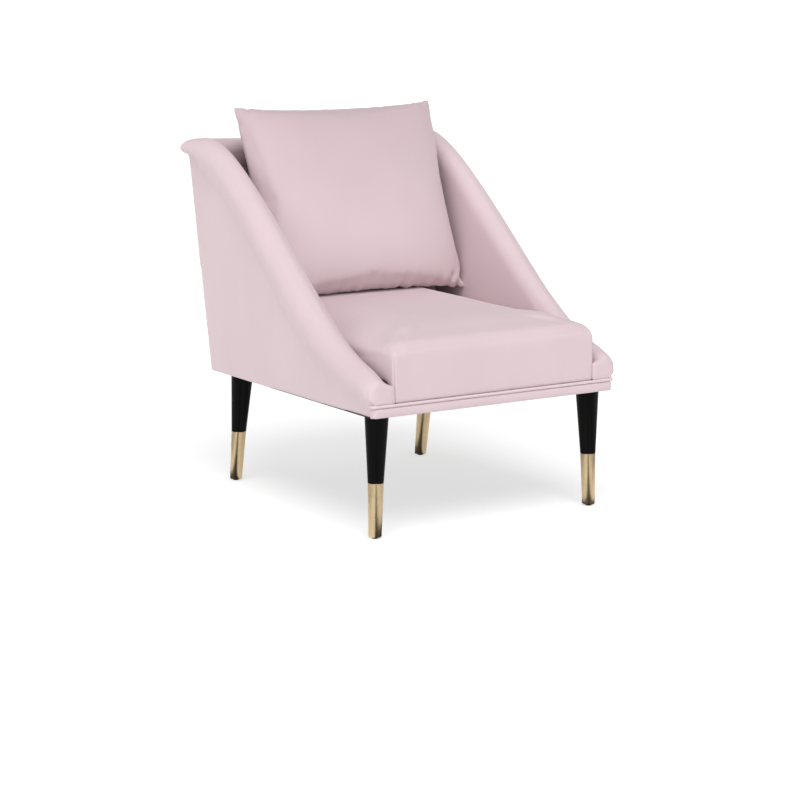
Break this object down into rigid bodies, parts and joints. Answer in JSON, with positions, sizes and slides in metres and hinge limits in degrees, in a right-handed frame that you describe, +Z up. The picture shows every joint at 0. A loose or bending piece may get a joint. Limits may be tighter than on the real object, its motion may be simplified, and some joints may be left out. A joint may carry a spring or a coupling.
{
  "type": "upholstered armchair",
  "caption": "Low velvet armchair with sloping rolled arms, a raked back, a loose back pillow and tapered wooden legs in brass ferrules.",
  "frame": {"origin": "on the floor, under the middle of the chair's box", "axes": "+Z up, the sitter looks along -Y, +X to the right of someone who faces the chair"},
  "size_m": [0.696, 0.8796, 0.931],
  "materials": {
    "velvet": "pale blush velvet with a short nap",
    "pillow_velvet": "pale blush velvet with a short nap",
    "piping": "velvet-covered cord",
    "lining": "black non-woven cloth",
    "foam": "open-cell foam",
    "fibre": "fibre filling in white cotton",
    "felt": "pressed felt",
    "webbing": "woven jute",
    "frame_wood": "planed, unfinished",
    "plywood": "unfinished",
    "leg_lacquer": "satin",
    "brass": "brushed",
    "steel": "drawn wire and plated screw",
    "nylon": "moulded"
  },
  "bodies": {
    "chair": {"seat_cover": "velvet", "inside_back_cover": "velvet", "outside_back_cover": "velvet", "back_roll_cover": "velvet", "front_band": "velvet", "left_arm_roll_cover": "velvet", "left_inside_arm_cover": "velvet", "left_outside_arm_cover": "velvet", "right_arm_roll_cover": "velvet", "right_inside_arm_cover": "velvet", "right_outside_arm_cover": "velvet", "front_piping": "piping", "dust_cover": "lining", "seat_foam": "foam", "back_foam": "foam", "back_roll_padding": "foam", "left_arm_roll_padding": "foam", "left_inside_arm_padding": "foam", "right_arm_roll_padding": "foam", "right_inside_arm_padding": "foam", "seat_insulator": "felt", "back_webbing_1": "webbing", "back_webbing_2": "webbing", "back_webbing_3": "webbing", "front_rail": "frame_wood", "rear_rail": "frame_wood", "top_back_rail": "frame_wood", "lower_back_rail": "frame_wood", "left_side_rail": "frame_wood", "left_back_post": "frame_wood", "right_side_rail": "frame_wood", "right_back_post": "frame_wood", "front_left_corner_block": "frame_wood", "front_right_corner_block": "frame_wood", "rear_left_corner_block": "frame_wood", "rear_right_corner_block": "frame_wood", "left_arm_board": "plywood", "right_arm_board": "plywood", "front_left_leg": "leg_lacquer", "front_right_leg": "leg_lacquer", "rear_left_leg": "leg_lacquer", "rear_right_leg": "leg_lacquer", "front_left_ferrule": "brass", "front_right_ferrule": "brass", "rear_left_ferrule": "brass", "rear_right_ferrule": "brass", "seat_spring_1": "steel", "seat_spring_2": "steel", "seat_spring_3": "steel", "seat_spring_4": "steel", "front_left_hanger_bolt": "steel", "front_right_hanger_bolt": "steel", "rear_left_hanger_bolt": "steel", "rear_right_hanger_bolt": "steel", "front_left_glide": "nylon", "front_right_glide": "nylon", "rear_left_glide": "nylon", "rear_right_glide": "nylon"},
    "back_pillow": {"pillow_cover": "pillow_velvet", "pillow_insert": "fibre"}
  },
  "joints": [
    {"name": "pillow_lift", "type": "slide", "parent": "chair", "child": "back_pillow", "axis": [0, 0.1822, 0.9833], "range_m": [0, 0.5]}
  ]
}
